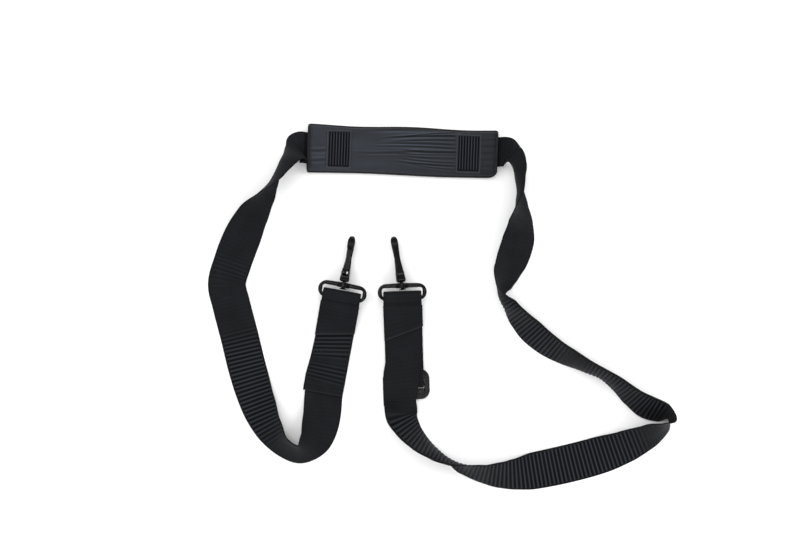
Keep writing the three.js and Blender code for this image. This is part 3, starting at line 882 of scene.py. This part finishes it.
def right_end():
    """The webbing comes over the slider and through the ring, and is sewn round the slider's rod."""
    over = OVER_SLIDER + WEB_THICK / 2
    wrap = SLIDER_ROD + ROD_GAP + WEB_THICK / 2
    layer = WEB_THICK + GAP
    back = SWIVEL_Z - LOOP_RADIUS
    front = SWIVEL_Z + LOOP_RADIUS
    begin = -RIGHT_END
    level = -62  # where the front run starts to rise
    path = [
        (begin, over),
        (level - 8, over),
        *rise((level, over), (BEND_Y, front)),
        *arc(FOLD_Y, SWIVEL_Z, LOOP_RADIUS, 90, 0),
    ]
    slants = [(begin, 0.0), (-84, 0.1), (level, 0.34), (-50, 0.4), (-34, 0.1), (-24, 0.0)]
    tucked = [
        (begin, 0.0, 5.5),
        (-108, 0.0, 3.4),
        (-97, 0.0, 1.6),
        (-84, 0.4, 0.6),
        (-68, 2.6, 0.2),
        (-52, 2.2, 0.0),
        (-28, 0.0, 0.0),
    ]
    run = band("right_front_run", RIGHT, path, drift=FRONT_SHIFT, slant=slants, tucked=tucked)
    claimed(run, "strap", "webbing", "right_front_leg")
    path = [
        *arc(FOLD_Y, SWIVEL_Z, LOOP_RADIUS, -9, -90),
        *rise((BEND_Y, back), (-50, SLIDER_ROD_Z + wrap)),
        *arc(SLIDER_Y, SLIDER_ROD_Z, wrap, 90, 300),
    ]
    under = band("right_back_run", RIGHT, path, drift=BACK_SHIFT)
    claimed(under, "strap", "webbing", "right_back_leg")
    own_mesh(under)
    start = (BEND_Y, front + layer)
    stop = (level, over + layer)
    sewn_patch("right", RIGHT, rise(start, stop)[3:28], [(-50, 0.36), (-40, 0.3), (-26, 0.0)])
    spots = []
    for y, slope in ((-24, 0.0), (-43.2, 0.3)):
        spots += row_across(RIGHT, y, slope, lambda at: rise_height(start, stop, at) + SEWN)
    stitched("right_end_stitches", spots, "strap")


# ---------------------------------------------------------------- pad

COVER_COLUMNS = 260
COVER_ROWS = 72
SIDE_POWER = 9  # how square the cover's long sides and its ends are
END_POWER = 60
# The darkening of the cover toward its right end, where the photograph's light falls off.
SHADE = 0.75
SHADE_FROM = -45.0
SHADE_LENGTH = 150.0
PAD_STITCH = 3.4  # pitch of the cover's stitches
SEAM_OUT = 2.2  # from a window to the seam beside it
SEAM_IN = 4.6  # from the pad's end to the seam there
# Half the width and half the height of the binding tape along the sides, and of the hem at the ends.
SIDE_TAPE = (1.1, 2.1)
END_TAPE = (1.3, 0.8)
SIDE_TAPE_Z = 4.4


def creases():
    """Long creases in the cover: from x, y to x, y, with a depth and a half width. They fan out from
    the pad's left half to the right window, and a few lie past each window."""
    wander = random.Random(12)
    made = []
    for i in range(11):
        y = -18.5 + 3.7 * i
        start = wander.uniform(-38, 2) + 0.06 * y * y
        lift = wander.uniform(-1.2, 0.6)
        stop = y + wander.uniform(-0.8, 0.8)
        depth = wander.uniform(0.5, 1.0)
        half = wander.uniform(0.5, 0.85)
        made.append((start, 0.72 * y + lift, WINDOW_AT - WINDOW_LENGTH / 2, stop, depth, half))
    # Single ones: low in the middle, two past the left window, and one along the upper edge.
    made += [
        (-52, -4.5, 20, -0.5, 0.4, 0.8),
        (-94, -4.0, -76, -3.2, 0.35, 1.2),
        (-94, -13.5, -76, -12.5, 0.35, 1.2),
        (-40, 18.5, 60, 20.5, 0.7, 1.1),
    ]
    for i in range(5):
        y = -14 + 6.5 * i
        made.append((74, y, 93, y + 1.2, wander.uniform(0.2, 0.4), 1.0))
    return made


def crease_depth(x, y):
    """How deep the creases are at each place, below 0 on the ridges beside them. Each one bows a
    little away from the pad's middle, and fades out at both ends."""
    total = np.zeros_like(x)
    for x0, y0, x1, y1, depth, half in creases():
        size = math.hypot(x1 - x0, y1 - y0)
        t = ((x - x0) * (x1 - x0) + (y - y0) * (y1 - y0)) / size**2
        bow = min(size / 80, 1) * np.sin(math.pi * np.clip(t, 0, 1)) * math.copysign(1, y0 - 2)
        off = ((y - y0) * (x1 - x0) - (x - x0) * (y1 - y0)) / size - bow
        ends = np.clip(t * 3, 0, 1) * np.clip((1 - t) * 20, 0, 1)
        groove = np.exp(-((off / half) ** 2))
        beside = np.exp(-(((np.abs(off) - 2 * half) / half) ** 2))
        total += depth * ends * (groove - 0.4 * beside)
    return total


def pad_outline(u, v):
    """The pad's outline: nearly square corners, one of them worn round, and a slack long edge."""
    half_long = PAD_LENGTH / 2
    half_wide = PAD_WIDTH / 2
    x = half_long * u
    y = half_wide * v - PAD_SLACK * np.clip(v, 0, 1)
    corner = np.where((u > 0) & (v < 0), WORN_CORNER, CORNER)
    over = np.clip((np.abs(x) - (half_long - corner)) / corner, 0, 1)
    y = y - np.sign(v) * np.abs(v) ** 6 * corner * (1 - np.sqrt(1 - np.minimum(over, 0.999) ** 2))
    # Slow waves along both long edges.
    y += 0.7 * np.sin(x / 17 + 1.1) * np.clip(v, 0, 1) ** 3
    y -= 0.5 * np.sin(x / 23) * np.clip(-v, 0, 1) ** 3
    return x, y


def window_depth(x, y):
    """How far each place is inside a window, and on the rim of folded cloth round it, from 0 to 1."""
    inside = np.zeros_like(x)
    rim = np.zeros_like(x)
    for side in (-1, 1):
        dx = np.abs(x - WINDOW_DRIFT - side * WINDOW_AT) - WINDOW_LENGTH / 2
        dy = np.abs(y - WINDOW_SHIFT) - WINDOW_WIDTH / 2
        out = np.maximum(dx, dy)
        inside = np.maximum(inside, np.clip(0.5 - out / RIM_OUT, 0, 1))
        rim = np.maximum(rim, np.exp(-(((out - RIM_OUT) / 0.5) ** 2)))
    return inside, rim


def rounded(f, power):
    """1 over the middle and nearly 0 at f = -1 and 1, the more squarely the higher the power."""
    return np.sqrt(1 - np.minimum(np.abs(f), 0.9999) ** power)


def cover_faces():
    """The faces of the cover's top and bottom grids, and of the strip that joins their borders."""
    columns = COVER_COLUMNS
    rows = COVER_ROWS
    under = columns * rows
    faces = []
    for i in range(columns - 1):
        for j in range(rows - 1):
            a = i * rows + j
            faces.append((a, a + rows, a + rows + 1, a + 1))
            faces.append((under + a, under + a + 1, under + a + rows + 1, under + a + rows))
    border = [i * rows for i in range(columns)]
    border += [(columns - 1) * rows + j for j in range(1, rows)]
    border += [i * rows + rows - 1 for i in range(columns - 2, -1, -1)]
    border += list(range(rows - 2, 0, -1))
    for a, b in zip(border, border[1:] + border[:1]):
        faces.append((a, b, under + b, under + a))
    return faces


def pad_cover():
    """The padded cover: a crowned closed body with two windows and long creases."""
    places = np.linspace(-1, 1, COVER_COLUMNS), np.linspace(-1, 1, COVER_ROWS)
    u, v = np.meshgrid(*places, indexing="ij")
    v = np.sign(v) * (1 - (1 - np.abs(v)) ** 1.15)  # rows closer together at the edges
    x, y = pad_outline(u, v)
    edge = rounded(v, SIDE_POWER) * rounded(u, END_POWER)
    inside, rim = window_depth(x, y)
    creased = crease_depth(x, y) * (1 - inside)
    crown = 0.5 * np.cos(v * math.pi / 2) + 0.25 * np.sin(x / 31) * np.cos(v * 1.4)
    top = PAD_SEAM_Z + edge * (PAD_TOP - PAD_SEAM_Z + crown - creased + RIM_HEIGHT * rim)
    top = top - inside * (top - WINDOW_FLOOR)
    bottom = PAD_SEAM_Z * (1 - edge) + PAD_LOW
    spots = [np.stack([x, y, heights], axis=-1).reshape(-1, 3) for heights in (top, bottom)]
    made = mesh_object("shoulder_pad", turned(PAD, np.concatenate(spots)), cover_faces())
    shade = SHADE * eased((x - SHADE_FROM) / SHADE_LENGTH)
    # rim sets the painted highlight round the windows, crease the painted crease shade and ridge
    # highlights, and shade the painted shade.
    for name, values in (("rim", np.clip(rim, 0, 1) * 0.8), ("shade", shade), ("crease", creased)):
        float_attribute(made, name, np.tile(values.reshape(-1), 2))
    made.data.materials.append(PAD_CLOTH)
    claimed(made, "pad", "pad_fabric", "pad_cover", "pad_backing", "pad_foam")


def tube(spots, wide, high, sides=12):
    """Points, faces and lengths of a flattened tube along a line, lying in the table's plane."""
    line = np.asarray(spots, float)
    tangent = np.gradient(line, axis=0)
    tangent /= np.linalg.norm(tangent, axis=1)[:, None]
    side = np.cross(tangent, (0, 0, 1))
    side /= np.linalg.norm(side, axis=1)[:, None]
    lift = np.cross(side, tangent)
    run = np.concatenate([[0], np.cumsum(np.linalg.norm(np.diff(line, axis=0), axis=1))])
    rings = []
    for k in range(sides):
        turn = math.tau * k / sides
        rings.append(line + side * wide * math.cos(turn) + lift * high * math.sin(turn))
    points = np.stack(rings, axis=1).reshape(-1, 3)
    return points, ring_faces(len(line), sides), np.repeat(run, sides)


def pad_binding():
    """The bound edges: tape along each long side, and a turned hem over each end."""
    # The outline is scaled down a little, so that the tape lies in the cover's edge.
    lines = []
    t = np.linspace(-1, 1, 160)
    for v in (-1.0, 1.0):
        x, y = pad_outline(t * 0.992, np.full_like(t, v))
        lines.append((np.column_stack([x, y, np.full_like(t, SIDE_TAPE_Z)]), *SIDE_TAPE))
    s = np.linspace(-1, 1, 50) * 0.96
    for u in (-1.0, 1.0):
        x, y = pad_outline(np.full_like(s, u * 0.985), s)
        z = 4.6 + (PAD_TOP - 4.5) * rounded(s, SIDE_POWER)
        lines.append((np.column_stack([x, y, z]), *END_TAPE))
    points, faces, lengths = [], [], []
    for line, wide, high in lines:
        more, sides, run = tube(line, wide, high)
        faces += [tuple(n + len(points) for n in face) for face in sides]
        points += list(more)
        lengths += list(run)
    made = mesh_object("pad_binding", turned(PAD, points), faces)
    float_attribute(made, "along", np.array(lengths) * MM)
    made.data.materials.append(BINDING)
    claimed(made, "pad", "pad_fabric")


def pad_run():
    """The webbing inside the pad, which shows in the windows and at the ends."""
    half = PAD_LENGTH / 2 - WEB_HIDDEN
    z = PAD_WEB_Z + WEB_THICK / 2
    made = band("pad_run", (PAD_CENTRE, PAD_TURN - 90), [(-half, z), (half, z)], ribs=0.5, pitch=2.8)
    claimed(made, "strap", "webbing", "pad_webbing")


def seam(x, middle, half, z):
    """Stitch spots in a row across the pad, at x, to half its length either side of its middle."""
    count = int(2 * half / PAD_STITCH)
    ys = middle + 2 * half * ((np.arange(count) + 0.5) / count - 0.5)
    along = axes(PAD)[1]
    return [(turned(PAD, (x, y, z)), along) for y in ys]


def pad_stitches():
    """A seam at both ends of each window, and one inside each end of the pad."""
    height = PAD_TOP + 0.28
    spots = []
    for side in (-1, 1):
        for end in (-1, 1):
            x = WINDOW_DRIFT + side * WINDOW_AT + end * (WINDOW_LENGTH / 2 + SEAM_OUT)
            spots += seam(x, WINDOW_SHIFT, 17.0, height)
        spots += seam(side * (PAD_LENGTH / 2 - SEAM_IN), 0.0, 19.0, height - 0.15)
    stitched("pad_stitches", spots, "pad", "pad_fabric")


# ---------------------------------------------------------------- hardware

# The castings of each end: the last words of the piece's, the node's and the body's name, the size
# of the copy's voxels in millimetres, and its passes of smoothing.
CASTINGS = [
    ("_oblong_ring", "_ring", "_ring", 0.5, 5),
    ("_snap_hook", "_hook", "_hook", 0.4, 5),
    ("_snap_gate", "_gate", "_gate", 0.3, 3),
    ("_stem", "_swivel_stem", "_hook", 0.3, 3),
]


def polished(name, node, body, material, slot, voxel, passes):
    """A cast-looking copy of a CAD node, with its edges rounded off."""
    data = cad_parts[node].data.copy()
    data.materials.clear()
    made = bpy.data.objects.new(name, data)
    bpy.context.scene.collection.objects.link(made)
    remesh = made.modifiers.new("even", "REMESH")
    remesh.mode = "VOXEL"
    remesh.voxel_size = voxel * MM
    soften = made.modifiers.new("soft", "SMOOTH")
    soften.factor = 0.5
    soften.iterations = passes
    bpy.context.view_layer.update()
    evaluated = made.evaluated_get(bpy.context.evaluated_depsgraph_get())
    final = bpy.data.meshes.new_from_object(evaluated)
    made.modifiers.clear()
    made.data = final
    final.materials.clear()
    final.materials.append(material)
    final.polygons.foreach_set("use_smooth", [True] * len(final.polygons))
    claimed(made, body, slot, node)


def hardware():
    """The rings, hooks, gates and stems, the slider, and the bare steel pins and springs."""
    for side in ("left", "right"):
        for name, node, body, voxel, passes in CASTINGS:
            polished(side + name, side + node, side + body, METAL, "black_metal", voxel, passes)
        for node in ("_gate_pin", "_gate_spring"):
            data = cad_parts[side + node].data
            data.materials.clear()
            data.materials.append(STEEL)
    polished("length_slider", "slider", "slider", PLASTIC, "slider_plastic", 0.4, 3)


WEBBING = webbing_material()
PAD_CLOTH = pad_material()
BINDING = binding_material()
THREAD = thread_material()
METAL = metal_material()
PLASTIC = plastic_material()
STEEL = steel_material()

bpy.context.scene.view_settings.view_transform = "Standard"
camera()
strand("left_strand", "left_webbing", LEFT_ROUTE, LEFT_RIBBED, LEFT_CUPPED, LEFT_TUCKS, 3)
strand("right_strand", "right_webbing", RIGHT_ROUTE, RIGHT_RIBBED, RIGHT_CUPPED, RIGHT_TUCKS, 8)
left_end()
right_end()
pad_cover()
pad_binding()
pad_run()
pad_stitches()
hardware()
lights()
floor()
